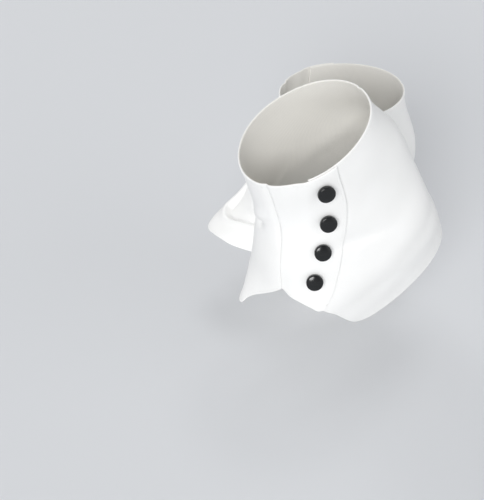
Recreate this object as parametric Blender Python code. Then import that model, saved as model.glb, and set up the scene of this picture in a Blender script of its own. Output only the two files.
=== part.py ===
"""A worn pair of white button spats, each three cloth panels and four domed buttons.

Lengths in the tables are millimetres and are turned to metres by MM.
A spat is a tube of closed rings round a shod ankle. A place on it has an angle
round the ring (0 front, 90 outer side, 180 heel, -90 inner side) and a level
down the leg. The foot frame has x towards the toe, y outward and z up.
"""
import math

import bmesh
import bpy
import numpy as np
from mathutils import Vector

MM = 0.001

# cloth and seams
WALL = 1.5
SEAM_GAP = 0.5
LAP_GAP = 0.5
LAP_RISE = WALL + LAP_GAP
# the flap has its full rise from this far before the edge under it, after a ramp this long
LAP_LEAD = 1.0
LAP_RAMP = 9.0

# buttons
BUTTON_RADIUS = 6.1
# the flat back's share of the radius, and the height at which the button is full width
BUTTON_BACK = 0.94
BUTTON_BEVEL = 0.35
BUTTON_EDGE = 1.6
BUTTON_HEIGHT = 4.8
BUTTON_LIFT = 0.6
BUTTON_SIDES = 20
BUTTON_RINGS = 4

# middle of the ankle in the foot frame, about which a worn spat is posed
ANKLE = (62.0, 0.0, 112.0)

# name, outer side along X, toes turned out, heel lift, ankle in the shared frame
POSES = {
    "left": {"side": 1, "toe_out": 9.0, "heel_lift": 23.9, "at": (0.0, 0.0, 0.0)},
    "right": {"side": -1, "toe_out": 9.0, "heel_lift": 0.0, "at": (-85.0, 42.0, -48.0)},
}

# rings from above the top edge to below the hem:
# level, front x, front z, heel x, heel z, outer half width, inner half width, squareness
RINGS = {
    "left": (
        (0, 112.0, 228.0, 16.0, 228.0, 42.0, 42.0, 2.00),
        (1, 113.4, 195.0, 13.2, 195.0, 41.0, 41.0, 2.00),
        (2, 118.7, 160.0, 0.4, 158.0, 38.5, 38.0, 2.10),
        (3, 130.3, 131.6, -0.5, 120.0, 41.5, 40.6, 2.40),
        (4, 143.3, 105.7, -2.6, 86.0, 45.0, 42.6, 2.65),
        (5, 168.0, 86.9, -5.0, 58.0, 43.0, 37.6, 2.50),
        (6, 192.6, 70.1, -4.5, 32.0, 39.5, 36.6, 2.50),
        (7, 214.0, 56.0, -1.0, 8.0, 36.0, 34.0, 2.50),
    ),
    "right": (
        (0, 112.0, 228.0, 16.0, 228.0, 42.0, 42.0, 2.00),
        (1, 113.4, 195.0, 13.2, 195.0, 41.0, 41.0, 2.00),
        (2, 118.7, 160.0, 0.4, 158.0, 38.5, 38.0, 2.10),
        (3, 130.3, 131.6, -0.5, 120.0, 41.5, 40.6, 2.40),
        (4, 144.6, 106.2, -2.6, 86.0, 45.0, 42.6, 2.65),
        (5, 167.4, 88.4, -5.0, 58.0, 43.0, 37.6, 2.50),
        (6, 186.0, 67.5, -4.5, 32.0, 39.5, 36.6, 2.45),
        (7, 206.0, 52.0, -1.0, 8.0, 36.0, 34.0, 2.45),
    ),
}
# how much of the front's squareness over a plain ellipse the heel end takes
HEEL_SQUARE = 0.6

TOP_LEVEL = 0.70

# angle of the centre front seam at the top edge and at the hem
FRONT_SEAM = {"left": (23.4, 24.4), "right": (36.0, 42.0)}
HEEL_ANGLE = 180.0
# levels of the heel seam's two ends, near enough for the width of its gap
HEEL_SEAM_LEVELS = (1.0, 5.5)

# hem of the inner panel, forward from the heel seam: angle, level
INNER_HEM = {
    "left": (
        (-180, 5.80), (-150, 6.00), (-120, 6.25), (-100, 6.30), (-85, 6.00), (-70, 5.45),
        (-55, 5.08), (-42, 4.96), (-34, 4.91), (-27, 4.86), (-18, 4.71), (-13.6, 4.52),
        (-8.4, 4.38), (5.0, 4.10), (23.5, 3.69), (25.0, 3.65),
    ),
    "right": (
        (-180, 5.80), (-150, 6.00), (-120, 6.25), (-100, 6.30), (-85, 6.00), (-70, 5.45),
        (-58, 5.10), (-48, 5.01), (-40, 4.98), (-32, 4.97), (-21, 4.96), (-5, 5.05), (10, 5.16),
        (17, 5.14), (24, 4.92), (32, 4.50), (42, 4.05),
    ),
}

# hem of the outer panels: degrees back from the front seam, level
OUTER_HEM = {
    "left": (
        (0, 3.65), (1.4, 3.66), (5.8, 3.76), (15.4, 3.96), (24.6, 4.23), (29.8, 4.42),
        (32.8, 4.50), (37.7, 4.70), (44.0, 4.99), (48.8, 5.28), (54.5, 5.65), (61.4, 6.10),
        (68, 6.35), (79, 6.42), (95, 6.30), (125, 6.02), (155, 5.80),
    ),
    "right": (
        (0, 4.05), (5.8, 4.12), (15.4, 4.28), (24.6, 4.50), (29.8, 4.66), (32.8, 4.75),
        (37.7, 4.93), (44.0, 5.20), (50, 5.52), (56, 5.86), (62, 6.12), (70, 6.32), (80, 6.36),
        (92, 6.26), (115, 6.02), (138, 5.80),
    ),
}

# part of the way from top edge to hem, then degrees back from the front seam
# of the flap's edge and of the back panel's edge under it
LAP_EDGES = (
    (0.00, 62.2, 38.0),
    (0.10, 59.6, 35.6),
    (0.19, 56.7, 32.8),
    (0.28, 53.4, 30.0),
    (0.37, 50.4, 27.2),
    (0.45, 48.2, 24.6),
    (0.54, 45.1, 21.8),
    (0.63, 42.3, 19.0),
    (0.71, 39.7, 16.6),
    (0.79, 37.6, 15.0),
    (0.89, 35.7, 13.8),
    (0.95, 34.5, 13.3),
    (1.00, 33.8, 13.0),
)

# how far the edge under the flap stops short of the flap's hem, in levels, and the degrees
# over which it does, and how far the flap's lower corner is rounded up, in levels and in
# parts of its width
UNDER_SHORT = 0.10
UNDER_RAMP = 6.0
CORNER_RISE = 0.10
CORNER_PART = 0.14

# buttons from the top: degrees back from the front seam, level
BUTTONS = ((46.5, 1.13), (39.4, 1.95), (32.6, 2.66), (25.5, 3.38))

# soft folds: angle, level, half length round, half width up the leg, half width down it,
# levels the fold drops in 45 degrees round, push outward
FOLDS = {
    "left": (
        (0.0, 2.10, 14.0, 0.12, 0.18, -0.30, -1.8),
        (-4.0, 1.82, 18.0, 0.25, 0.14, -0.50, 1.5),
        (88.0, 3.05, 22.0, 0.22, 0.14, 0.60, -0.8),
        (-110.0, 2.40, 36.0, 0.30, 0.24, 0.18, -1.2),
        (-70.0, 3.10, 30.0, 0.28, 0.28, -0.25, 1.0),
    ),
    "right": (
        (-18.0, 4.06, 24.0, 0.85, 0.18, 0.50, -4.0),
        (-18.0, 4.34, 24.0, 0.12, 0.30, 0.50, 0.8),
        (-95.0, 3.30, 34.0, 0.30, 0.26, 0.20, -1.2),
        (110.0, 2.60, 34.0, 0.28, 0.22, -0.15, -1.0),
        (-120.0, 2.40, 34.0, 0.28, 0.24, 0.18, -1.0),
    ),
}

# grid of each panel: steps round, steps down
GRID = {"inner": (34, 16), "flap": (12, 16), "back": (24, 16)}

WHITE_CLOTH = (0.86, 0.86, 0.86, 1.0)
CLOTH_ROUGHNESS = 0.42
BLACK_BUTTON = (0.012, 0.013, 0.015, 1.0)
BUTTON_ROUGHNESS = 0.2


def table_curve(table, place):
    """A smooth line through the rows of a table, read at a place between two of them."""
    rows = np.asarray(table, float)
    last = len(rows) - 1
    place = np.clip(place, 0.0, last - 1e-9)
    first = np.floor(place).astype(int)
    part = (place - first)[..., None]
    p1 = rows[first]
    p2 = rows[first + 1]
    p0 = np.where((first == 0)[..., None], 2 * p1 - p2, rows[np.maximum(first - 1, 0)])
    p3 = np.where((first == last - 1)[..., None], 2 * p2 - p1, rows[np.minimum(first + 2, last)])
    bend = 2 * p0 - 5 * p1 + 4 * p2 - p3
    twist = 3 * p1 - p0 - 3 * p2 + p3
    return 0.5 * (2 * p1 + (p2 - p0) * part + bend * part**2 + twist * part**3)


def table_value(table, key, column=1):
    """The value in a column of a table at a key in its first column, on a smooth line."""
    rows = np.asarray(table, float)
    keys = rows[:, 0]
    values = rows[:, column]
    slopes = np.gradient(values, keys)
    key = np.clip(key, keys[0], keys[-1])
    first = np.clip(np.searchsorted(keys, key, side="right") - 1, 0, len(keys) - 2)
    width = keys[first + 1] - keys[first]
    part = (key - keys[first]) / width
    rest = 1.0 - part
    ends = values[first] * (1 + 2 * part) * rest**2 + values[first + 1] * (3 - 2 * part) * part**2
    bends = slopes[first] * part * rest**2 - slopes[first + 1] * rest * part**2
    return ends + width * bends


def fold_height(name, angle, level):
    """Outward push of the soft folds: a bell along and across each fold's turned line."""
    push = np.zeros(np.broadcast(angle, level).shape)
    for at_angle, at_level, long, wide_up, wide_down, drop, depth in FOLDS[name]:
        along = (angle - at_angle + 180.0) % 360.0 - 180.0
        down = level - at_level - drop * along / 45.0
        wide = np.where(down < 0.0, wide_up, wide_down)
        push = push + depth * np.exp(-((along / long) ** 2) - (down / wide) ** 2)
    return push


def tube_point(name, angle, level):
    """Point of the bare tube in the foot frame: a ring with an elliptical heel and blunt front."""
    row = table_curve([ring[1:] for ring in RINGS[name]], level)
    front_x, front_z, heel_x, heel_z, outer, inner, square = [row[..., k] for k in range(7)]
    turn = np.radians(angle)
    along = np.cos(turn)
    across = np.sin(turn)
    half = np.where(across > 0, outer, inner)
    power = np.where(along > 0, square, 2.0 + (square - 2.0) * HEEL_SQUARE)
    reach = (np.abs(along) ** power + np.abs(across) ** power) ** (-1.0 / power)
    along = along * reach
    across = across * reach
    x = (front_x + heel_x) / 2 + (front_x - heel_x) / 2 * along
    z = (front_z + heel_z) / 2 + (front_z - heel_z) / 2 * along
    return np.stack([x, half * across, z], -1)


def outward(name, angle, level):
    """Unit direction out of the tube, from the slopes round it and down it."""
    round_step = tube_point(name, angle + 0.5, level) - tube_point(name, angle - 0.5, level)
    down_step = tube_point(name, angle, level + 0.01) - tube_point(name, angle, level - 0.01)
    normal = np.cross(down_step, round_step)
    return normal / np.linalg.norm(normal, axis=-1, keepdims=True)


def posed(name, point):
    """A foot frame point in the shared frame, in metres: heel lifted, toes out, at its ankle."""
    pose = POSES[name]
    lift = math.radians(pose["heel_lift"])
    toes = math.radians(pose["toe_out"])
    local = np.asarray(point, float) - np.array(ANKLE)
    ahead = local[..., 0] * math.cos(lift) + local[..., 2] * math.sin(lift)
    rise = -local[..., 0] * math.sin(lift) + local[..., 2] * math.cos(lift)
    aside = local[..., 1]
    side = pose["side"]
    x = side * (ahead * math.sin(toes) + aside * math.cos(toes))
    y = -ahead * math.cos(toes) + aside * math.sin(toes)
    return (np.stack([x, y, rise], -1) + np.array(pose["at"])) * MM


def cloth_point(name, angle, level, out):
    """A point on the folded cloth in the foot frame, out millimetres off its outer face."""
    lift = fold_height(name, angle, level) + out
    return tube_point(name, angle, level) + outward(name, angle, level) * lift[..., None]


def seam_half_turn(name, angle, level):
    """Half of the seam gap as an angle, from how far a degree reaches there."""
    step = tube_point(name, angle + 0.5, level) - tube_point(name, angle - 0.5, level)
    return 0.5 * SEAM_GAP / np.linalg.norm(step, axis=-1)


def panel_grid(name, panel):
    """Angle, level and outward lift of a panel's outer face, with rows down and columns round."""
    steps_round, steps_down = GRID[panel]
    across = np.linspace(0.0, 1.0, steps_round + 1)[None, :]
    down = np.linspace(0.0, 1.0, steps_down + 1)[:, None]
    top_seam, hem_seam = FRONT_SEAM[name]
    front = top_seam + (hem_seam - top_seam) * down
    notch_level = TOP_LEVEL + (OUTER_HEM[name][0][1] - TOP_LEVEL) * down
    front_gap = seam_half_turn(name, front, notch_level)
    heel_top, heel_hem = HEEL_SEAM_LEVELS
    heel_level = heel_top + (heel_hem - heel_top) * down
    heel_gap = seam_half_turn(name, np.full_like(down, HEEL_ANGLE), heel_level)
    flap_edge = front + table_value(LAP_EDGES, down, 1)
    under_edge = front + table_value(LAP_EDGES, down, 2)
    if panel == "inner":
        angle = (front - front_gap) + (-HEEL_ANGLE + heel_gap - front + front_gap) * across
        hem = table_value(INNER_HEM[name], angle)
    elif panel == "flap":
        angle = (front + front_gap) + (flap_edge - front - front_gap) * across
        hem = table_value(OUTER_HEM[name], angle - hem_seam)
        corner = np.clip((across - 1.0 + CORNER_PART) / CORNER_PART, 0.0, 1.0)
        hem = hem - CORNER_RISE * (1.0 - np.sqrt(1.0 - corner**2))
    else:
        angle = under_edge + (HEEL_ANGLE - heel_gap - under_edge) * across
        hem = table_value(OUTER_HEM[name], angle - hem_seam)
        hem = hem - UNDER_SHORT * np.clip((flap_edge - angle) / UNDER_RAMP, 0.0, 1.0)
    level = TOP_LEVEL + (hem - TOP_LEVEL) * down
    rise = np.zeros_like(angle)
    if panel == "flap":
        step = tube_point(name, angle + 0.5, level) - tube_point(name, angle - 0.5, level)
        ahead = (under_edge - angle) * np.linalg.norm(step, axis=-1)
        ramp = np.clip(1.0 - (ahead - LAP_LEAD) / LAP_RAMP, 0.0, 1.0)
        rise = LAP_RISE * ramp * ramp * (3.0 - 2.0 * ramp)
    return angle, level, rise


def mesh_object(name, points, faces, colour, roughness):
    """A named object with its own plain material, smooth, its faces turned outward."""
    mesh = bpy.data.meshes.new(name)
    mesh.from_pydata([tuple(p) for p in points], [], faces)
    work = bmesh.new()
    work.from_mesh(mesh)
    bmesh.ops.recalc_face_normals(work, faces=work.faces)
    work.to_mesh(mesh)
    work.free()
    mesh.shade_smooth()
    mesh.set_sharp_from_angle(angle=math.radians(40.0))
    material = bpy.data.materials.new(f"{name}_material")
    material.use_nodes = True
    shader = material.node_tree.nodes["Principled BSDF"]
    shader.inputs["Base Color"].default_value = colour
    shader.inputs["Roughness"].default_value = roughness
    mesh.materials.append(material)
    made = bpy.data.objects.new(name, mesh)
    bpy.context.scene.collection.objects.link(made)
    return made


def make_panel(name, panel):
    """One cloth panel: the outer face, the same face a wall inward, and the edges closed."""
    angle, level, rise = panel_grid(name, panel)
    outer = posed(name, cloth_point(name, angle, level, rise))
    inner = posed(name, cloth_point(name, angle, level, rise - WALL))
    rows, columns = angle.shape
    points = np.concatenate([outer.reshape(-1, 3), inner.reshape(-1, 3)])
    base = rows * columns

    def spot(row, column, layer):
        return layer * base + row * columns + column

    faces = []
    for row in range(rows - 1):
        for column in range(columns - 1):
            ring = [(row, column), (row, column + 1), (row + 1, column + 1), (row + 1, column)]
            faces.append([spot(r, c, 0) for r, c in ring])
            faces.append([spot(r, c, 1) for r, c in reversed(ring)])
    rim = [(0, c) for c in range(columns)]
    rim += [(r, columns - 1) for r in range(1, rows)]
    rim += [(rows - 1, c) for c in range(columns - 2, -1, -1)]
    rim += [(r, 0) for r in range(rows - 2, 0, -1)]
    for k, here in enumerate(rim):
        there = rim[(k + 1) % len(rim)]
        faces.append([spot(*there, 0), spot(*here, 0), spot(*here, 1), spot(*there, 1)])
    mesh_object(f"{name}_{panel}_panel", points, faces, WHITE_CLOTH, CLOTH_ROUGHNESS)


def make_button(name, number, back, level):
    """A domed button: a round flat back, an upright edge and a dome, square to the flap."""
    top_seam, hem_seam = FRONT_SEAM[name]
    part_down = (level - TOP_LEVEL) / (OUTER_HEM[name][0][1] - TOP_LEVEL)
    spot_angle = np.array(top_seam + (hem_seam - top_seam) * part_down + back)
    spot_level = np.array(level)
    seat = np.array(LAP_RISE + BUTTON_LIFT)
    centre = posed(name, cloth_point(name, spot_angle, spot_level, seat))
    above = posed(name, cloth_point(name, spot_angle, spot_level, seat + 1.0))
    profile = [(BUTTON_RADIUS * BUTTON_BACK, 0.0), (BUTTON_RADIUS, BUTTON_BEVEL),
               (BUTTON_RADIUS, BUTTON_EDGE)]
    for ring in range(1, BUTTON_RINGS):
        turn = 0.5 * math.pi * ring / BUTTON_RINGS
        dome = BUTTON_HEIGHT - BUTTON_EDGE
        profile.append((BUTTON_RADIUS * math.cos(turn), BUTTON_EDGE + dome * math.sin(turn)))
    points = []
    for radius, height in profile:
        for side in range(BUTTON_SIDES):
            turn = 2.0 * math.pi * side / BUTTON_SIDES
            points.append((radius * math.cos(turn) * MM, radius * math.sin(turn) * MM, height * MM))
    points.append((0.0, 0.0, BUTTON_HEIGHT * MM))
    faces = [list(range(BUTTON_SIDES))]
    for ring in range(len(profile) - 1):
        for side in range(BUTTON_SIDES):
            after = (side + 1) % BUTTON_SIDES
            low = ring * BUTTON_SIDES
            high = low + BUTTON_SIDES
            faces.append([low + side, low + after, high + after, high + side])
    top = (len(profile) - 1) * BUTTON_SIDES
    for side in range(BUTTON_SIDES):
        faces.append([top + side, top + (side + 1) % BUTTON_SIDES, len(points) - 1])
    label = f"{name}_button_{number}"
    button = mesh_object(label, points, faces, BLACK_BUTTON, BUTTON_ROUGHNESS)
    button.location = Vector(centre)
    button.rotation_euler = Vector((0, 0, 1)).rotation_difference(Vector(above - centre)).to_euler()


def main():
    for old in list(bpy.data.objects):
        bpy.data.objects.remove(old, do_unlink=True)
    for name in POSES:
        for panel in GRID:
            make_panel(name, panel)
        for number, (back, level) in enumerate(BUTTONS, 1):
            make_button(name, number, back, level)


main()
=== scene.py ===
import math

import bpy
import numpy as np
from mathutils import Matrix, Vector


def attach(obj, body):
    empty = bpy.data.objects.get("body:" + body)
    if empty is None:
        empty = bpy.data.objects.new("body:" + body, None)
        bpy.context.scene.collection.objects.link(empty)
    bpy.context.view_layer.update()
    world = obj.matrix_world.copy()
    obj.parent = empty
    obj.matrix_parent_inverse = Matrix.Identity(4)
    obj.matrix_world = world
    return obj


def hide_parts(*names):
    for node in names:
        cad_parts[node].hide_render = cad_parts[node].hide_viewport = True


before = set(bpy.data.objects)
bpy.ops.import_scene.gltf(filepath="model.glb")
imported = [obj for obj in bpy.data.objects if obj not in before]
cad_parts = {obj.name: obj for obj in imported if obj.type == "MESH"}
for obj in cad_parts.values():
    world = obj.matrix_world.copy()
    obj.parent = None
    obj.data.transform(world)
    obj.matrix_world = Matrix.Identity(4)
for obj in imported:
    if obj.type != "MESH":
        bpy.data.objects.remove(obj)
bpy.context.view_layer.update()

MM = 0.001

# cloth: its wall, and the steps of the quarter circle at its edges
WALL = 1.4
EDGE_STEPS = 5
# how far in from an edge the wall is rounded: an open edge, and one sewn to its neighbour,
# and the gap between two sewn edges
OPEN_ROUND = 0.7
SEWN_ROUND = 0.18
SEAM_GAP = 0.06
# a seam is a valley: depth, and width on its steep side and on the slack side of the front seam
SEAM_DIP = 0.95
SEAM_STEEP = 1.2
SEAM_SLACK = 3.6
# the front seam is a sharp valley down to a level, and over some levels more it fades to a
# small part of its depth
SEAM_FADE_LEVEL = 1.9
SEAM_FADE_LEVELS = 0.8
SEAM_FADED = 0.12
# the heel seam's depth as a part of the front seam's
HEEL_SEAM_SHARE = 0.6
# the flap rises over the back panel: how far, how far ahead of that panel's edge it is up,
# and the length of the slope before that
LAP_RISE = 1.55
LAP_LEAD = 1.0
LAP_RAMP = 9.0

# buttons: radius, height over the back, and the rim's and shoulder's radii; the face rises to
# its middle, and the shoulder's arc ends at its slope
BUTTON_RADIUS = 6.0
BUTTON_HEIGHT = 4.0
RIM_ROUND = 0.8
SHOULDER_ROUND = 1.2
FACE_RISE = 0.75
FACE_SLOPE = math.radians(14.0)
BUTTON_SIDES = 72
RIM_POINTS = 7
SHOULDER_POINTS = 12
FACE_POINTS = 14
# each button leans up on its shank, which is as long as the lean needs; it runs a little way
# into the cloth and the cap, and its end at the cloth is wider by a share that falls off upwards
SHANK_SPARE = 0.5
SHANK_RADIUS = 1.3
SHANK_SUNK = 0.4
SHANK_IN_CAP = 0.3
SHANK_POINTS = 9
SHANK_SPREAD = 0.8
SHANK_SPREAD_LONG = 0.5
# levels over which the way up the cloth is taken at a button
SEAT_STEP = 0.1

# the worn form: the same rings, seams, edges and hems as the solids. A spat's own frame has x
# forward, y outward and z up; it is lifted at the heel and turned outward about its middle
ANKLE = (62.0, 0.0, 112.0)
POSES = {
    "left": {"side": 1, "toe_out": 9.0, "heel_lift": 23.9, "at": (0.0, 0.0, 0.0)},
    "right": {"side": -1, "toe_out": 9.0, "heel_lift": 0.0, "at": (-85.0, 42.0, -48.0)},
}
# level, front x, front z, heel x, heel z, outer half width, inner half width, squareness
RINGS = {
    "left": (
        (0, 112.0, 228.0, 16.0, 228.0, 42.0, 42.0, 2.00),
        (1, 113.4, 195.0, 13.2, 195.0, 41.0, 41.0, 2.00),
        (2, 118.7, 160.0, 0.4, 158.0, 38.5, 38.0, 2.10),
        (3, 130.3, 131.6, -0.5, 120.0, 41.5, 40.6, 2.40),
        (4, 143.3, 105.7, -2.6, 86.0, 45.0, 42.6, 2.65),
        (5, 168.0, 86.9, -5.0, 58.0, 43.0, 37.6, 2.50),
        (6, 192.6, 70.1, -4.5, 32.0, 39.5, 36.6, 2.50),
        (7, 214.0, 56.0, -1.0, 8.0, 36.0, 34.0, 2.50),
    ),
    "right": (
        (0, 112.0, 228.0, 16.0, 228.0, 42.0, 42.0, 2.00),
        (1, 113.4, 195.0, 13.2, 195.0, 41.0, 41.0, 2.00),
        (2, 118.7, 160.0, 0.4, 158.0, 38.5, 38.0, 2.10),
        (3, 130.3, 131.6, -0.5, 120.0, 41.5, 40.6, 2.40),
        (4, 144.6, 106.2, -2.6, 86.0, 45.0, 42.6, 2.65),
        (5, 167.4, 88.4, -5.0, 58.0, 43.0, 37.6, 2.50),
        (6, 186.0, 67.5, -4.5, 32.0, 39.5, 36.6, 2.45),
        (7, 206.0, 52.0, -1.0, 8.0, 36.0, 34.0, 2.45),
    ),
}
# the heel's share of the front's squareness
HEEL_SQUARE = 0.6
TOP_LEVEL = 0.70
# the heel seam: its angle, and levels of its ends, near enough for the width of its gap
HEEL_ANGLE = 180.0
HEEL_SEAM_LEVELS = (1.0, 5.5)
# the front seam's angle at the top edge and at the hem
FRONT_SEAM = {"left": (23.4, 24.4), "right": (36.0, 42.0)}
# hem of the inner panel, forward from the heel seam: angle, level
INNER_HEM = {
    "left": (
        (-180, 5.80), (-150, 6.00), (-120, 6.25), (-100, 6.30), (-85, 6.00), (-70, 5.45),
        (-55, 5.08), (-42, 4.96), (-34, 4.91), (-27, 4.86), (-18, 4.71), (-13.6, 4.52),
        (-8.4, 4.38), (5.0, 4.10), (23.5, 3.69), (25.0, 3.65),
    ),
    "right": (
        (-180, 5.80), (-150, 6.00), (-120, 6.25), (-100, 6.30), (-85, 6.00), (-70, 5.45),
        (-58, 5.10), (-48, 5.01), (-40, 4.98), (-32, 4.97), (-21, 4.96), (-5, 5.05), (10, 5.16),
        (17, 5.14), (24, 4.92), (32, 4.50), (42, 4.05),
    ),
}
# hem of the outer panels: degrees back from the front seam, level
OUTER_HEM = {
    "left": (
        (0, 3.65), (1.4, 3.66), (5.8, 3.76), (15.4, 3.96), (24.6, 4.23), (29.8, 4.42),
        (32.8, 4.50), (37.7, 4.70), (44.0, 4.99), (48.8, 5.28), (54.5, 5.65), (61.4, 6.10),
        (68, 6.35), (79, 6.42), (95, 6.30), (125, 6.02), (155, 5.80),
    ),
    "right": (
        (0, 4.05), (5.8, 4.12), (15.4, 4.28), (24.6, 4.50), (29.8, 4.66), (32.8, 4.75),
        (37.7, 4.93), (44.0, 5.20), (50, 5.52), (56, 5.86), (62, 6.12), (70, 6.32), (80, 6.36),
        (92, 6.26), (115, 6.02), (138, 5.80),
    ),
}
# part of the way from top edge to hem, then degrees back from the front seam
# of the flap's edge and of the back panel's edge under it
LAP_EDGES = (
    (0.00, 62.2, 38.0),
    (0.10, 59.6, 35.6),
    (0.19, 56.7, 32.8),
    (0.28, 53.4, 30.0),
    (0.37, 50.4, 27.2),
    (0.45, 48.2, 24.6),
    (0.54, 45.1, 21.8),
    (0.63, 42.3, 19.0),
    (0.71, 39.7, 16.6),
    (0.79, 37.6, 15.0),
    (0.89, 35.7, 13.8),
    (0.95, 34.5, 13.3),
    (1.00, 33.8, 13.0),
)
# how far the edge under the flap stops short of the flap's hem, in levels, and over how many
# degrees, and how far the flap's lower corner is rounded up, in levels and in parts of its width
UNDER_SHORT = 0.10
UNDER_RAMP = 6.0
CORNER_RISE = 0.10
CORNER_PART = 0.14
# buttons from the top: degrees back from the front seam, level, degrees it leans up
BUTTONS = ((46.2, 1.13, 18.0), (38.7, 1.96, 18.0), (32.1, 2.67, 13.0), (25.1, 3.395, 13.0))

# folds: angle, level, half length round, half width above and half width below it,
# levels that it drops in so many degrees round, push outward
DROP_DEGREES = 45.0
FOLDS = {
    "left": (
        (-10.0, 2.14, 9.5, 0.09, 0.15, -0.32, -3.0),
        (-6.0, 1.85, 17.0, 0.20, 0.12, -0.48, 1.8),
        (80.0, 2.95, 19.0, 0.30, 0.14, 0.55, -2.2),
        (75.0, 3.24, 9.0, 0.10, 0.09, -0.60, -0.15),
        (-110.0, 2.40, 36.0, 0.30, 0.24, 0.18, -1.2),
        (-70.0, 3.10, 30.0, 0.28, 0.28, -0.25, 1.0),
        (-166.0, 2.42, 20.0, 0.18, 0.11, 0.35, -1.7),
        (-162.0, 2.12, 20.0, 0.16, 0.15, 0.35, 1.1),
        (-152.0, 3.10, 30.0, 0.12, 0.21, 0.45, -2.0),
        (-148.0, 3.42, 26.0, 0.16, 0.21, 0.45, 1.2),
        (-96.0, 3.75, 22.0, 0.11, 0.20, -0.55, -1.6),
        (-58.0, 2.62, 16.0, 0.13, 0.20, 0.50, -1.5),
        (-60.0, 4.30, 20.0, 0.22, 0.16, 0.60, -0.9),
        (150.0, 4.10, 26.0, 0.24, 0.30, -0.20, -0.7),
        (124.0, 4.80, 30.0, 0.35, 0.30, 0.35, 0.8),
        (-140.0, 4.60, 24.0, 0.26, 0.30, 0.20, -0.8),
    ),
    "right": (
        (-16.0, 3.71, 8.0, 0.07, 0.10, 0.20, 1.0),
        (-95.0, 3.30, 34.0, 0.30, 0.26, 0.20, -1.2),
        (110.0, 2.60, 34.0, 0.28, 0.22, -0.15, -1.0),
        (-120.0, 2.40, 34.0, 0.28, 0.24, 0.18, -1.0),
        (108.0, 3.10, 24.0, 0.26, 0.10, 0.50, -1.3),
        (158.0, 2.90, 26.0, 0.12, 0.21, 0.40, -2.0),
        (154.0, 3.20, 24.0, 0.16, 0.20, 0.40, 1.2),
        (-156.0, 2.70, 24.0, 0.20, 0.11, -0.40, -1.7),
        (-100.0, 4.10, 22.0, 0.13, 0.20, -0.50, -1.4),
        (128.0, 3.80, 24.0, 0.16, 0.24, -0.45, -1.5),
        (-150.0, 4.30, 26.0, 0.22, 0.30, 0.20, -0.8),
    ),
}
# the deep crease of the far spat: a hollow above a sharp bent edge. Edge: angle, level
CREASE_EDGE = {
    "right": (
        (-80, 3.72), (-50, 3.82), (-28.4, 3.99), (-20.2, 4.10), (-9.5, 4.27), (-2.4, 4.36),
        (6.1, 4.42), (16.1, 4.40), (40, 4.36),
    ),
}
# the angle of its end by the front seam, its depth, the length of its slope and of its corner,
# its lip's height and how far out the lip lies in lengths of the slope
CREASE_END = 22.0
CREASE_DEEP = 4.6
CREASE_SLOPE = 3.0
CREASE_CORNER = 2.2
CREASE_LIP = 1.5
CREASE_LIP_OUT = 1.1
# the levels over which it fades upward, and the angles between which it comes to full depth
CREASE_FADE_LEVELS = 0.95
CREASE_FADE_ANGLES = (-70.0, -35.0)
# millimetres to a level and to a degree, near enough at the crease
LEVEL_LONG = 27.0
DEGREE_LONG = 0.85
# long shallow slack in the cloth: rounds of the wave, levels to a wave, height, start in degrees
SLACK = ((2.0, 2.9, 0.30, 40.0), (3.0, 1.9, 0.22, 155.0), (5.0, 1.3, 0.12, 260.0))

# grid of each panel between its rounded edges: steps round, steps down
GRID = {"inner": (190, 190), "flap": (60, 150), "back": (130, 170)}
# points each way of the coarse grid on which a panel is measured
MEASURE_POINTS = 61
# steps over which slopes and lengths are taken: degrees round and levels down
ROUND_STEP = 1.0
DOWN_STEP = 0.02

# stitches: length, length with the gap, half width of the thread, distance in from the edge
STITCH_LONG = 2.2
STITCH_STEP = 2.8
THREAD_HALF = 0.16
EDGE_STITCH_IN = 2.2
STITCH_SIDES = 6
STITCH_RINGS = 4
# how far a row stops short of the panel's sides, how many degrees past the flap's edge the
# back panel's rows start, and the parts of the way down between which the flap's edge is sewn
ROW_SHORT = 3.0
ROW_PAST_LAP = 2.0
FLAP_ROW = (0.03, 0.91)
# points along a row, and how far each side of a stitch its direction is taken
ROW_POINTS = 241
LOOK_ALONG = 0.3
# the bar tack at the flap's lower corner: part of the way down its edge, distance in from it,
# threads, their length and their spacing
TACK_AT = 0.945
TACK_IN = 0.3
TACK_THREADS = 5
TACK_LONG = 1.6
TACK_STEP = 0.32

# the photograph's camera: distance, height angle, turn from the front and focal length in
# pixels, and where the origin, the left ankle, lies from the point on the ground it looks at
IMAGE_LONG_SIDE = 500.0
SENSOR_WIDTH = 36.0
CAMERA_DISTANCE = 1000.0
CAMERA_HEIGHT_ANGLE = 40.0
CAMERA_TURN = 23.55
CAMERA_FOCAL_PIXELS = 1079.0
ANKLE_FROM_AIM = (73.9, -145.9, 158.3)

# the studio: floor height, and half of its side in metres
GROUND = -160.0
FLOOR_HALF = 30.0
# far soft lights: right, away and up of the camera's aim, strength, degrees they spread
LIGHTS = {
    "key": ((-270.0, -1000.0, 560.0), 1.98, 26.0),
    "side": ((920.0, -460.0, 450.0), 0.34, 50.0),
    "top": ((100.0, 150.0, 1200.0), 0.34, 22.0),
    "back": ((-500.0, 1000.0, 420.0), 0.65, 26.0),
}
# the pale surround: its strength at the horizon and overhead, and how high a direction points
# where it comes to the second
SURROUND_STRENGTH = (0.79, 0.42)
SURROUND_EVEN = 0.5


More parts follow.
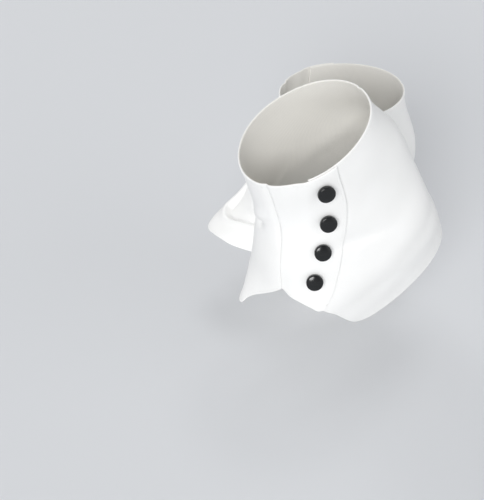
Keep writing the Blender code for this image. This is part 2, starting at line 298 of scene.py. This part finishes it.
def table_curve(table, place):
    """A smooth line through the rows of a table, read at a place between two of them.

    It is a cubic whose slope at each row is half the step from the row before to the row after.
    """
    rows = np.asarray(table, float)
    last = len(rows) - 1
    place = np.clip(place, 0.0, last - 1e-9)
    first = np.floor(place).astype(int)
    part = (place - first)[..., None]
    p1 = rows[first]
    p2 = rows[first + 1]
    p0 = np.where((first == 0)[..., None], 2 * p1 - p2, rows[np.maximum(first - 1, 0)])
    p3 = np.where((first == last - 1)[..., None], 2 * p2 - p1, rows[np.minimum(first + 2, last)])
    bend = 2 * p0 - 5 * p1 + 4 * p2 - p3
    twist = 3 * p1 - p0 - 3 * p2 + p3
    return 0.5 * (2 * p1 + (p2 - p0) * part + bend * part**2 + twist * part**3)


def table_value(table, key, column=1):
    """The value in a column of a table at a key in its first column, on a smooth line.

    It is a cubic between the two rows round the key that has the table's own slope at both.
    """
    rows = np.asarray(table, float)
    keys = rows[:, 0]
    values = rows[:, column]
    slopes = np.gradient(values, keys)
    key = np.clip(key, keys[0], keys[-1])
    first = np.clip(np.searchsorted(keys, key, side="right") - 1, 0, len(keys) - 2)
    width = keys[first + 1] - keys[first]
    part = (key - keys[first]) / width
    rest = 1.0 - part
    ends = values[first] * (1 + 2 * part) * rest**2 + values[first + 1] * (3 - 2 * part) * part**2
    bends = slopes[first] * part * rest**2 - slopes[first + 1] * rest * part**2
    return ends + width * bends


def fold_height(name, angle, level):
    """Outward push of the cloth.

    Each fold is a bell along and across its slanting line, and the slack is a sum of sine waves
    round and down the tube.
    """
    push = np.zeros(np.broadcast(angle, level).shape)
    for at_angle, at_level, long, wide_up, wide_down, drop, depth in FOLDS[name]:
        along = (angle - at_angle + 180.0) % 360.0 - 180.0
        down = level - at_level - drop * along / DROP_DEGREES
        wide = np.where(down < 0.0, wide_up, wide_down)
        push = push + depth * np.exp(-((along / long) ** 2) - (down / wide) ** 2)
    for rounds, levels, height, start in SLACK:
        turn = np.radians(rounds * angle + start) + 2.0 * math.pi * level / levels
        push = push + height * np.sin(turn)
    if name in CREASE_EDGE:
        push = push + crease_height(CREASE_EDGE[name], angle, level)
    return push


def smooth_step(value):
    """0 below 0, 1 above 1, and three squares less two cubes between them."""
    value = np.clip(value, 0.0, 1.0)
    return value * value * (3.0 - 2.0 * value)


def crease_height(edge, angle, level):
    """Outward push of a deep crease.

    The distance inside its edge is the lesser of those from its lower line and from its front end,
    blended round their corner. The hollow falls off a smooth step inside it, with a lip outside.
    """
    turned = (angle + 180.0) % 360.0 - 180.0
    above = (table_value(edge, turned) - level) * LEVEL_LONG
    before = (CREASE_END - turned) * DEGREE_LONG
    inside = -CREASE_CORNER * np.logaddexp(-above / CREASE_CORNER, -before / CREASE_CORNER)
    start, full = CREASE_FADE_ANGLES
    fade = smooth_step((turned - start) / (full - start))
    fade = fade * np.exp(-((np.maximum(above, 0.0) / LEVEL_LONG / CREASE_FADE_LEVELS) ** 2))
    hollow = -CREASE_DEEP * smooth_step(inside / CREASE_SLOPE + 0.5)
    lip = CREASE_LIP * np.exp(-((inside / CREASE_SLOPE + CREASE_LIP_OUT) ** 2))
    return (hollow + lip) * fade


def tube_point(name, angle, level):
    """Point of the bare tube in the spat's own frame.

    Each ring is a squared ellipse: its reach at an angle is the sum of the powers of cosine and
    sine to the power of minus one over the squareness, which is less at the heel than in front.
    """
    row = table_curve([ring[1:] for ring in RINGS[name]], level)
    front_x, front_z, heel_x, heel_z, outer, inner, square = [row[..., k] for k in range(7)]
    turn = np.radians(angle)
    along = np.cos(turn)
    across = np.sin(turn)
    half = np.where(across > 0, outer, inner)
    power = np.where(along > 0, square, 2.0 + (square - 2.0) * HEEL_SQUARE)
    reach = (np.abs(along) ** power + np.abs(across) ** power) ** (-1.0 / power)
    along = along * reach
    across = across * reach
    x = (front_x + heel_x) / 2 + (front_x - heel_x) / 2 * along
    z = (front_z + heel_z) / 2 + (front_z - heel_z) / 2 * along
    return np.stack([x, half * across, z], -1)


def round_slope(name, angle, level):
    """The way from half a degree before a place on the tube to half a degree after it."""
    half = ROUND_STEP / 2
    return tube_point(name, angle + half, level) - tube_point(name, angle - half, level)


def outward(name, angle, level):
    """Unit direction out of the tube: the cross product of the slopes down it and round it."""
    half = DOWN_STEP / 2
    down_slope = tube_point(name, angle, level + half) - tube_point(name, angle, level - half)
    normal = np.cross(down_slope, round_slope(name, angle, level))
    return normal / np.linalg.norm(normal, axis=-1, keepdims=True)


def posed(name, point):
    """A point of a spat's own frame in the shared frame, in metres.

    It is turned about the spat's middle by the heel's lift, then outward by the toes' turn, and
    moved to its place.
    """
    pose = POSES[name]
    lift = math.radians(pose["heel_lift"])
    toes = math.radians(pose["toe_out"])
    local = np.asarray(point, float) - np.array(ANKLE)
    ahead = local[..., 0] * math.cos(lift) + local[..., 2] * math.sin(lift)
    rise = -local[..., 0] * math.sin(lift) + local[..., 2] * math.cos(lift)
    aside = local[..., 1]
    side = pose["side"]
    x = side * (ahead * math.sin(toes) + aside * math.cos(toes))
    y = -ahead * math.cos(toes) + aside * math.sin(toes)
    return (np.stack([x, y, rise], -1) + np.array(pose["at"])) * MM


def cloth_point(name, angle, level, out):
    """A point on the folded cloth in the shared frame, some millimetres out of its outer face."""
    lift = fold_height(name, angle, level) + out
    return posed(name, tube_point(name, angle, level) + outward(name, angle, level) * lift[..., None])


def seam_half_turn(name, angle, level):
    """Half of the seam gap as an angle, from how far a degree reaches there."""
    return 0.5 * SEAM_GAP / np.linalg.norm(round_slope(name, angle, level), axis=-1)


def panel_place(name, panel, across, down):
    """Angle, level and outward lift of a place on a panel, across and down it from 0 to 1.

    The angle goes evenly from one side edge to the other, and the level evenly from the top
    edge to the hem. The flap is lifted by a smooth step of the way to the edge under it.
    """
    top_seam, hem_seam = FRONT_SEAM[name]
    front = top_seam + (hem_seam - top_seam) * down
    notch_level = TOP_LEVEL + (OUTER_HEM[name][0][1] - TOP_LEVEL) * down
    front_gap = seam_half_turn(name, front, notch_level)
    heel_top, heel_hem = HEEL_SEAM_LEVELS
    heel_level = heel_top + (heel_hem - heel_top) * down
    heel_gap = seam_half_turn(name, np.full_like(down, HEEL_ANGLE), heel_level)
    flap_edge = front + table_value(LAP_EDGES, down, 1)
    under_edge = front + table_value(LAP_EDGES, down, 2)
    if panel == "inner":
        angle = (front - front_gap) + (-HEEL_ANGLE + heel_gap - front + front_gap) * across
        hem = table_value(INNER_HEM[name], angle)
    elif panel == "flap":
        angle = (front + front_gap) + (flap_edge - front - front_gap) * across
        hem = table_value(OUTER_HEM[name], angle - hem_seam)
        corner = np.clip((across - 1.0 + CORNER_PART) / CORNER_PART, 0.0, 1.0)
        hem = hem - CORNER_RISE * (1.0 - np.sqrt(1.0 - corner**2))
    else:
        angle = under_edge + (HEEL_ANGLE - heel_gap - under_edge) * across
        hem = table_value(OUTER_HEM[name], angle - hem_seam)
        hem = hem - UNDER_SHORT * np.clip((flap_edge - angle) / UNDER_RAMP, 0.0, 1.0)
    level = TOP_LEVEL + (hem - TOP_LEVEL) * down
    rise = np.zeros_like(angle)
    if panel == "flap":
        degree_long = np.linalg.norm(round_slope(name, angle, level), axis=-1)
        ahead = (under_edge - angle) * degree_long
        rise = LAP_RISE * smooth_step(1.0 - (ahead - LAP_LEAD) / LAP_RAMP)
    return angle, level, rise


def edge_lines(steps, length, start_round, end_round):
    """Places from 0 to 1 along a length.

    In each rounded edge they go as one less the cosine of an even turn, and between the edges
    they are even.
    """
    turned = 1.0 - np.cos(np.linspace(0.0, math.pi / 2, EDGE_STEPS + 1))
    middle = np.linspace(0.0, 1.0, steps + 1)[1:-1]
    length = np.asarray(length, float)[..., None]
    between = (start_round + middle * (length - start_round - end_round)) / length
    start = start_round * turned / length
    end = 1.0 - end_round * turned[::-1] / length
    return np.concatenate([start, between, end], axis=-1)


def run_lengths(points, axis):
    """Length in millimetres of each line of points along an axis of the grid."""
    steps = np.diff(points, axis=axis)
    return np.linalg.norm(steps, axis=-1).sum(axis=axis) / MM


def panel_lengths(name, panel):
    """Even places from 0 to 1, and a panel's length across and down it at each of them."""
    even = np.linspace(0.0, 1.0, MEASURE_POINTS)
    across, down = np.meshgrid(even, even)
    points = cloth_point(name, *panel_place(name, panel, across, down))
    return even, run_lengths(points, 1), run_lengths(points, 0)


def joined(forms):
    """Several forms as one: each is points, four-cornered faces and three-cornered faces."""
    counts = np.cumsum([0] + [len(form[0]) for form in forms[:-1]])
    points = np.concatenate([form[0] for form in forms])
    quads = np.concatenate([form[1] + count for form, count in zip(forms, counts)])
    triangles = np.concatenate([form[2] + count for form, count in zip(forms, counts)])
    return points, quads, triangles


def make_piece(name, form, materials, uv=None):
    """A mesh object of a form, smooth, with its materials, riding on the root."""
    points, quads, triangles = form
    mesh = bpy.data.meshes.new(name)
    mesh.vertices.add(len(points))
    mesh.vertices.foreach_set("co", points.astype(np.float32).ravel())
    corners = np.concatenate([quads.ravel(), triangles.ravel()]).astype(np.int32)
    mesh.loops.add(len(corners))
    mesh.loops.foreach_set("vertex_index", corners)
    starts = np.concatenate([4 * np.arange(len(quads)),
                             4 * len(quads) + 3 * np.arange(len(triangles))])
    mesh.polygons.add(len(starts))
    mesh.polygons.foreach_set("loop_start", starts.astype(np.int32))
    mesh.update(calc_edges=True)
    mesh.shade_smooth()
    for material in materials:
        mesh.materials.append(material)
    if uv is not None:
        layer = mesh.uv_layers.new(name="cloth")
        layer.data.foreach_set("uv", uv[corners].astype(np.float32).ravel())
    piece = bpy.data.objects.new(name, mesh)
    bpy.context.scene.collection.objects.link(piece)
    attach(piece, "root")
    return piece


def panel_shell(name, panel, face_cloth, back_cloth):
    """A thin shell on the panel's form, which replaces the solid panel.

    Both faces lie half a wall each side of the middle, and the wall narrows along a
    quarter circle at every edge, where the faces share their points. Along a seam both
    panels dip by a half bell, so that they meet in a valley. The cloth's own map is the
    length across and up it, in metres.
    """
    steps_round, steps_down = GRID[panel]
    even, row_length, column_length = panel_lengths(name, panel)
    start_round = OPEN_ROUND if panel == "back" else SEWN_ROUND
    end_round = OPEN_ROUND if panel == "flap" else SEWN_ROUND
    middle_down = edge_lines(steps_down, column_length.mean(), OPEN_ROUND, OPEN_ROUND)
    middle_across = edge_lines(steps_round, row_length.mean(), start_round, end_round)
    row_length = np.interp(middle_down, even, row_length)
    column_length = np.interp(middle_across, even, column_length)
    across = edge_lines(steps_round, row_length, start_round, end_round)
    down = edge_lines(steps_down, column_length, OPEN_ROUND, OPEN_ROUND).T
    angle, level, rise = panel_place(name, panel, across, down)
    from_start = across * row_length[:, None]
    from_end = (1.0 - across) * row_length[:, None]
    from_top = down * column_length
    from_hem = (1.0 - down) * column_length
    near_side = np.minimum(from_start / start_round, from_end / end_round)
    near_open = np.minimum(from_top, from_hem) / OPEN_ROUND
    near = np.clip(np.minimum(near_side, near_open), 0.0, 1.0)
    half = WALL / 2
    thick = half * np.sqrt(1.0 - (1.0 - near) ** 2)
    dip = np.zeros_like(near)
    if panel != "back":
        faded = smooth_step((level - SEAM_FADE_LEVEL) / SEAM_FADE_LEVELS)
        sharp = 1.0 - (1.0 - SEAM_FADED) * faded
        wide = SEAM_SLACK if panel == "inner" else SEAM_STEEP
        dip = dip + sharp * np.exp(-((from_start / wide) ** 2))
    if panel != "flap":
        dip = dip + HEEL_SEAM_SHARE * np.exp(-((from_end / SEAM_STEEP) ** 2))
    middle = rise - half - SEAM_DIP * dip
    outer = cloth_point(name, angle, level, middle + thick)
    inner = cloth_point(name, angle, level, middle - thick)

    rows, columns = angle.shape
    index = np.arange(rows * columns).reshape(rows, columns)
    back = index + rows * columns
    rim = np.ones((rows, columns), bool)
    rim[1:-1, 1:-1] = False
    back[rim] = index[rim]
    kept = np.concatenate([np.ones(rows * columns, bool), ~rim.ravel()])
    renumber = np.cumsum(kept) - 1
    points = np.concatenate([outer.reshape(-1, 3), inner.reshape(-1, 3)])[kept]
    face_front = grid_faces(index)
    face_back = grid_faces(back)[:, ::-1]
    # the inner panel runs the other way round the tube, and the right spat is mirrored
    if (POSES[name]["side"] > 0) == (panel != "inner"):
        face_front = face_front[:, ::-1]
        face_back = face_back[:, ::-1]
    faces = renumber[np.concatenate([face_front, face_back])]
    flat = np.stack([across * row_length[:, None], (1.0 - down) * column_length], -1).reshape(-1, 2)
    uv = np.concatenate([flat, flat])[kept] * MM
    form = (points, faces, np.zeros((0, 3), int))
    piece = make_piece(f"{name}_{panel}_cloth", form, [face_cloth, back_cloth], uv)
    side = np.zeros(len(faces), dtype=np.int32)
    side[len(face_front):] = 1
    piece.data.polygons.foreach_set("material_index", side)
    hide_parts(f"{name}_{panel}_panel")
    return piece


def grid_faces(index):
    """Four-cornered faces between the neighbours in a grid of point numbers."""
    corners = [index[:-1, :-1], index[:-1, 1:], index[1:, 1:], index[1:, :-1]]
    return np.stack(corners, -1).reshape(-1, 4)


def button_seat(name, back, level):
    """Place of a button on the flap, the direction out of the cloth there and the way up it.

    Each direction is the way to a point 1 mm further out, or a little higher, made a unit long.
    """
    top_seam, hem_seam = FRONT_SEAM[name]
    part_down = (level - TOP_LEVEL) / (OUTER_HEM[name][0][1] - TOP_LEVEL)
    angle = np.array(top_seam + (hem_seam - top_seam) * part_down + back)
    level = np.array(level)
    seat = cloth_point(name, angle, level, np.array(LAP_RISE))
    out = cloth_point(name, angle, level, np.array(LAP_RISE + 1.0)) - seat
    out = out / np.linalg.norm(out)
    up = cloth_point(name, angle, level - SEAT_STEP, np.array(LAP_RISE)) - seat
    up = up - out * np.dot(up, out)
    return seat, out, up / np.linalg.norm(up)


def stitch_form(long):
    """One stitch lying along x: rings of a spindle, closed by a point at each end.

    From one end to the other the place is a cosine and the thickness the root of a sine.
    """
    share = np.linspace(0.0, math.pi, STITCH_RINGS + 2)[1:-1]
    turn = np.linspace(0.0, 2.0 * math.pi, STITCH_SIDES, endpoint=False)
    along = np.repeat(-np.cos(share) * long / 2, STITCH_SIDES)
    half = np.repeat(np.sqrt(np.sin(share)) * THREAD_HALF, STITCH_SIDES)
    turn = np.tile(turn, STITCH_RINGS)
    points = np.stack([along, half * np.cos(turn), half * np.sin(turn)], -1)
    ends = np.array([[-long / 2, 0.0, 0.0], [long / 2, 0.0, 0.0]])
    index = np.arange(len(points)).reshape(STITCH_RINGS, STITCH_SIDES)
    index = np.concatenate([index, index[:, :1]], axis=1)
    low = np.full(STITCH_SIDES, len(points))
    triangles = np.concatenate([np.stack([index[0, 1:], index[0, :-1], low], -1),
                                np.stack([index[-1, :-1], index[-1, 1:], low + 1], -1)])
    return np.concatenate([points, ends]), grid_faces(index), triangles


def sewn_line(name, panel, across, down, step, long, crosswise=False):
    """Stitches along a line of places on a panel, spaced evenly by length.

    Each is the one stitch form turned to the line, the cloth's outward direction and their
    cross product, and lies half sunk in the cloth.
    """
    angle, level, rise = panel_place(name, panel, across, down)
    line = cloth_point(name, angle, level, rise)
    raised = cloth_point(name, angle, level, rise + 1.0)
    run = np.concatenate([[0.0], np.cumsum(np.linalg.norm(np.diff(line, axis=0), axis=-1))]) / MM
    count = int(run[-1] / step)
    at = (np.arange(count) + 0.5) * run[-1] / count
    centre = np.stack([np.interp(at, run, line[:, k]) for k in range(3)], -1)
    above = np.stack([np.interp(at, run, raised[:, k]) for k in range(3)], -1)
    before = np.stack([np.interp(at - LOOK_ALONG, run, line[:, k]) for k in range(3)], -1)
    after = np.stack([np.interp(at + LOOK_ALONG, run, line[:, k]) for k in range(3)], -1)
    out = (above - centre) / np.linalg.norm(above - centre, axis=-1, keepdims=True)
    ahead = (after - before) / np.linalg.norm(after - before, axis=-1, keepdims=True)
    ahead = ahead - out * (ahead * out).sum(-1, keepdims=True)
    aside = np.cross(out, ahead)
    if crosswise:
        ahead, aside = aside, -ahead
    form, quads, triangles = stitch_form(long)
    points = centre[:, None] + MM * (form[:, 0, None] * ahead[:, None]
                                     + form[:, 1, None] * aside[:, None]
                                     + form[:, 2, None] * out[:, None])
    shift = (np.arange(count) * len(form))[:, None, None]
    return points.reshape(-1, 3), (quads + shift).reshape(-1, 4), (triangles + shift).reshape(-1, 3)


def panel_stitches(name, panel, thread):
    """The rows sewn along a panel's open edges, each a fixed way in, and the flap's bar tack.

    The top edge and the hem have a row on every panel, and the flap's free edge has one too.
    """
    share = np.linspace(0.0, 1.0, ROW_POINTS)
    even, row_length, column_length = panel_lengths(name, panel)
    short = ROW_SHORT / row_length.mean()
    start = np.full(2, short)
    if panel == "back":
        ends = np.array([0.0, 1.0])
        edge = FRONT_SEAM[name] + table_value(LAP_EDGES, ends, 1)
        under = FRONT_SEAM[name] + table_value(LAP_EDGES, ends, 2)
        start = (edge - under + ROW_PAST_LAP) / (HEEL_ANGLE - under)
    end = 1.0 - short
    rows = []
    for first, from_hem in ((start[0], False), (start[1], True)):
        across = first + (end - first) * share
        inset = EDGE_STITCH_IN / np.interp(across, even, column_length)
        rows.append((across, 1.0 - inset if from_hem else inset, STITCH_STEP, STITCH_LONG, False))
    if panel == "flap":
        down = FLAP_ROW[0] + (FLAP_ROW[1] - FLAP_ROW[0]) * share
        inset = EDGE_STITCH_IN / np.interp(down, even, row_length)
        rows.append((1.0 - inset, down, STITCH_STEP, STITCH_LONG, False))
        reach = TACK_THREADS * TACK_STEP / column_length[-1]
        down = TACK_AT + reach * (share - 0.5)
        inset = (TACK_LONG / 2 + TACK_IN) / np.interp(down, even, row_length)
        rows.append((1.0 - inset, down, TACK_STEP, TACK_LONG, True))
    form = joined([sewn_line(name, panel, *row) for row in rows])
    piece = make_piece(f"{name}_{panel}_stitches", form, [thread])
    return piece


def turned_form(profile, foot, axis):
    """A form turned about an axis from a profile of radii and heights.

    Each row of the profile is a circle about the axis, and a point closes each end.
    """
    aside = np.cross(axis, np.array([0.0, 0.0, 1.0]))
    aside = aside / np.linalg.norm(aside)
    ahead = np.cross(axis, aside)
    turn = np.linspace(0.0, 2.0 * math.pi, BUTTON_SIDES, endpoint=False)
    flat = aside * np.cos(turn)[:, None] + ahead * np.sin(turn)[:, None]
    rings = foot + (flat * profile[:, :1, None] + axis * profile[:, 1:, None]) * MM
    ends = foot + axis * profile[[0, -1], 1:] * MM
    points = np.concatenate([rings.reshape(-1, 3), ends])
    index = np.arange(len(profile) * BUTTON_SIDES).reshape(len(profile), BUTTON_SIDES)
    index = np.concatenate([index, index[:, :1]], axis=1)
    low = np.full(BUTTON_SIDES, len(points) - 2)
    high = np.full(BUTTON_SIDES, len(points) - 1)
    triangles = np.concatenate([np.stack([low, index[0, 1:], index[0, :-1]], -1),
                                np.stack([high, index[-1, :-1], index[-1, 1:]], -1)])
    return points, grid_faces(index), triangles


def domed_button(name, number, back, level, lean, plastic):
    """A domed button on its shank, which replaces the solid button.

    The cap is turned from its outline: a flat back, arcs of a circle at rim and shoulder, and a
    face that rises as a shallow parabola. The shank is a rod whose end at the cloth is wider by
    an exponential of the height.
    """
    foot, out, up = button_seat(name, back, level)
    lean = math.radians(lean)
    axis = out * math.cos(lean) + up * math.sin(lean)
    wide = BUTTON_RADIUS - SHOULDER_ROUND
    under = np.linspace(-math.pi / 2, 0.0, RIM_POINTS)
    low = np.stack([BUTTON_RADIUS - RIM_ROUND + RIM_ROUND * np.cos(under),
                    RIM_ROUND + RIM_ROUND * np.sin(under)], -1)
    over = np.linspace(0.0, math.pi / 2 - FACE_SLOPE, SHOULDER_POINTS)
    shoulder = BUTTON_HEIGHT - SHOULDER_ROUND - FACE_RISE
    high = np.stack([wide + SHOULDER_ROUND * np.cos(over),
                     shoulder + SHOULDER_ROUND * np.sin(over)], -1)
    share = np.linspace(1.0, 0.0, FACE_POINTS + 2)[1:-1]
    face = np.stack([high[-1, 0] * share,
                     BUTTON_HEIGHT - (BUTTON_HEIGHT - high[-1, 1]) * share**2], -1)
    profile = np.concatenate([low, high, face])
    shank_long = (BUTTON_RADIUS - RIM_ROUND) * math.sin(lean) + SHANK_SPARE
    cap = turned_form(profile, foot + out * shank_long * MM, axis)
    along = np.linspace(-SHANK_SUNK, shank_long + SHANK_IN_CAP, SHANK_POINTS)
    spread = 1.0 + SHANK_SPREAD * np.exp(-((along + SHANK_SUNK) / SHANK_SPREAD_LONG))
    shank = turned_form(np.stack([SHANK_RADIUS * spread, along], -1), foot, out)
    piece = make_piece(f"{name}_button_dome_{number}", joined([cap, shank]), [plastic])
    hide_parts(f"{name}_button_{number}")


def colour(code):
    """An sRGB hex colour as linear red, green, blue and alpha, by the sRGB standard's curve."""
    parts = np.array([int(code[k:k + 2], 16) for k in (1, 3, 5)]) / 255.0
    linear = np.where(parts <= 0.04045, parts / 12.92, ((parts + 0.055) / 1.055) ** 2.4)
    return (*linear.tolist(), 1.0)


def add_node(tree, kind, links=(), **settings):
    """A node of that kind, its inputs and settings by name, and links to its inputs."""
    node = tree.nodes.new(kind)
    for key, value in settings.items():
        if key in node.inputs:
            node.inputs[key].default_value = value
        else:
            setattr(node, key, value)
    for source, target in links:
        tree.links.new(source, node.inputs[target])
    return node


def new_material(name):
    """An empty node material and its Principled shader."""
    material = bpy.data.materials.new(name)
    material.use_nodes = True
    tree = material.node_tree
    return material, tree, tree.nodes["Principled BSDF"]


def coated_cloth():
    """White coated cloth, smooth as soft leather: a pebbled skin with a soft gloss."""
    material, tree, shader = new_material("white_coated_cloth")
    place = add_node(tree, "ShaderNodeTexCoord").outputs["Object"]
    cloudy = add_node(tree, "ShaderNodeTexNoise", [(place, "Vector")], Scale=28.0, Detail=3.0)
    tint = add_node(tree, "ShaderNodeValToRGB", [(cloudy.outputs["Fac"], "Fac")])
    tint.color_ramp.elements[0].color = colour("#EFEFED")
    tint.color_ramp.elements[1].color = colour("#F8F8F7")
    tree.links.new(tint.outputs["Color"], shader.inputs["Base Color"])
    # pebbles about 0.9 mm across, coarser than the real grain so that they just show
    pebble = add_node(tree, "ShaderNodeTexVoronoi", [(place, "Vector")], Scale=1100.0,
                      feature="SMOOTH_F1", Smoothness=0.6)
    crinkle = add_node(tree, "ShaderNodeTexNoise", [(place, "Vector")], Scale=140.0, Detail=4.0)
    mixed = add_node(tree, "ShaderNodeMath", [(pebble.outputs["Distance"], 0),
                                              (crinkle.outputs["Fac"], 1)], operation="ADD")
    bump = add_node(tree, "ShaderNodeBump", [(mixed.outputs[0], "Height")], Strength=0.5,
                    Distance=0.00009)
    tree.links.new(bump.outputs["Normal"], shader.inputs["Normal"])
    gloss = add_node(tree, "ShaderNodeMapRange", [(crinkle.outputs["Fac"], "Value")],
                     **{"To Min": 0.36, "To Max": 0.48})
    tree.links.new(gloss.outputs["Result"], shader.inputs["Roughness"])
    shader.inputs["IOR"].default_value = 1.5
    return material


def woven_backing():
    """The cloth's inner side: a close plain weave, matt and a little greyer than the face."""
    material, tree, shader = new_material("woven_backing")
    place = add_node(tree, "ShaderNodeUVMap", uv_map="cloth").outputs["UV"]
    # threads 0.9 mm apart, coarser than the real weave so that they just show
    waves = []
    for direction in ("X", "Y"):
        wave = add_node(tree, "ShaderNodeTexWave", [(place, "Vector")], Scale=350.0,
                        Distortion=0.6, Detail=1.0, bands_direction=direction)
        waves.append(wave.outputs["Fac"])
    weave = add_node(tree, "ShaderNodeMath", [(waves[0], 0), (waves[1], 1)], operation="MAXIMUM")
    tint = add_node(tree, "ShaderNodeValToRGB", [(weave.outputs[0], "Fac")])
    tint.color_ramp.elements[0].color = colour("#D6D4CE")
    tint.color_ramp.elements[1].color = colour("#ECEAE5")
    tree.links.new(tint.outputs["Color"], shader.inputs["Base Color"])
    bump = add_node(tree, "ShaderNodeBump", [(weave.outputs[0], "Height")], Strength=0.5,
                    Distance=0.00015)
    tree.links.new(bump.outputs["Normal"], shader.inputs["Normal"])
    shader.inputs["Roughness"].default_value = 0.85
    return material


def spun_thread():
    """White spun polyester sewing thread, a little fuzzy and matt beside the coated cloth."""
    material, tree, shader = new_material("white_spun_thread")
    place = add_node(tree, "ShaderNodeTexCoord").outputs["Object"]
    # twists 0.4 mm apart
    fibre = add_node(tree, "ShaderNodeTexNoise", [(place, "Vector")], Scale=2500.0, Detail=2.0)
    tint = add_node(tree, "ShaderNodeValToRGB", [(fibre.outputs["Fac"], "Fac")])
    tint.color_ramp.elements[0].color = colour("#E4E4E2")
    tint.color_ramp.elements[1].color = colour("#F7F7F5")
    tree.links.new(tint.outputs["Color"], shader.inputs["Base Color"])
    shader.inputs["Roughness"].default_value = 0.7
    return material


def black_plastic():
    """Moulded black plastic, polished: a clear highlight with faint handling marks."""
    material, tree, shader = new_material("polished_black_plastic")
    place = add_node(tree, "ShaderNodeTexCoord").outputs["Object"]
    marks = add_node(tree, "ShaderNodeTexNoise", [(place, "Vector")], Scale=420.0, Detail=5.0)
    gloss = add_node(tree, "ShaderNodeMapRange", [(marks.outputs["Fac"], "Value")],
                     **{"To Min": 0.12, "To Max": 0.22})
    tree.links.new(gloss.outputs["Result"], shader.inputs["Roughness"])
    shader.inputs["Base Color"].default_value = colour("#0D0F11")
    shader.inputs["IOR"].default_value = 1.49
    return material


def make_spats():
    """Both spats: three cloth shells with their cut and stitches, and four buttons each."""
    face_cloth = coated_cloth()
    back_cloth = woven_backing()
    plastic = black_plastic()
    thread = spun_thread()
    for name in POSES:
        panels = {}
        for panel in GRID:
            panels[panel] = panel_shell(name, panel, face_cloth, back_cloth)
        for panel, piece in panels.items():
            sewn = panel_stitches(name, panel, thread)
        for number, (back, level, lean) in enumerate(BUTTONS, 1):
            domed_button(name, number, back, level, lean, plastic)


def from_ground(point):
    """A point told as right, away and up of the camera's aim, in the shared frame, in metres."""
    turn = math.radians(CAMERA_TURN)
    right, away, up = np.asarray(point, float) - np.array(ANKLE_FROM_AIM)
    x = right * math.sin(turn) - away * math.cos(turn)
    y = right * math.cos(turn) + away * math.sin(turn)
    return np.array([x, y, up]) * MM


def aimed(thing, place, target):
    """Put a light or the camera at a place, looking at a target."""
    thing.location = Vector(place)
    thing.rotation_euler = Vector(target - place).to_track_quat("-Z", "Y").to_euler()


def make_camera():
    """The photograph's camera, its focal length turned from pixels to the sensor's millimetres."""
    lens = bpy.data.cameras.new("camera")
    lens.sensor_width = SENSOR_WIDTH
    lens.lens = CAMERA_FOCAL_PIXELS * SENSOR_WIDTH / IMAGE_LONG_SIDE
    camera = bpy.data.objects.new("camera", lens)
    bpy.context.scene.collection.objects.link(camera)
    high = math.radians(CAMERA_HEIGHT_ANGLE)
    place = (0.0, -CAMERA_DISTANCE * math.cos(high), CAMERA_DISTANCE * math.sin(high))
    aimed(camera, from_ground(place), from_ground((0.0, 0.0, 0.0)))
    bpy.context.scene.camera = camera


def soft_sun(name, place, strength, spread):
    """A far soft light that shines from a place towards the camera's aim."""
    lamp = bpy.data.lights.new(name, "SUN")
    lamp.energy = strength
    lamp.angle = math.radians(spread)
    light = bpy.data.objects.new(name, lamp)
    bpy.context.scene.collection.objects.link(light)
    aimed(light, from_ground(place), from_ground((0.0, 0.0, 0.0)))


def make_studio():
    """A pale paper floor, a soft key light low on the camera's left, three fills and a surround."""
    corners = [(-1, -1), (1, -1), (1, 1), (-1, 1)]
    mesh = bpy.data.meshes.new("floor")
    mesh.from_pydata([(x * FLOOR_HALF, y * FLOOR_HALF, GROUND * MM) for x, y in corners], [],
                     [[0, 1, 2, 3]])
    material, _, shader = new_material("pale_paper_floor")
    shader.inputs["Base Color"].default_value = colour("#D9DBDE")
    shader.inputs["Roughness"].default_value = 0.9
    mesh.materials.append(material)
    floor = bpy.data.objects.new("floor", mesh)
    bpy.context.scene.collection.objects.link(floor)
    for name, (place, strength, spread) in LIGHTS.items():
        soft_sun(name, place, strength, spread)
    world = bpy.data.worlds.new("studio")
    world.use_nodes = True
    tree = world.node_tree
    background = tree.nodes["Background"]
    background.inputs["Color"].default_value = colour("#F4F5F7")
    place = add_node(tree, "ShaderNodeTexCoord").outputs["Generated"]
    split = add_node(tree, "ShaderNodeSeparateXYZ", [(place, "Vector")])
    level_strength, high_strength = SURROUND_STRENGTH
    height = add_node(tree, "ShaderNodeMapRange", [(split.outputs["Z"], "Value")],
                      **{"From Max": SURROUND_EVEN, "To Min": level_strength,
                         "To Max": high_strength})
    tree.links.new(height.outputs["Result"], background.inputs["Strength"])
    bpy.context.scene.world = world
    bpy.context.scene.view_settings.view_transform = "Standard"


make_camera()
make_studio()
make_spats()
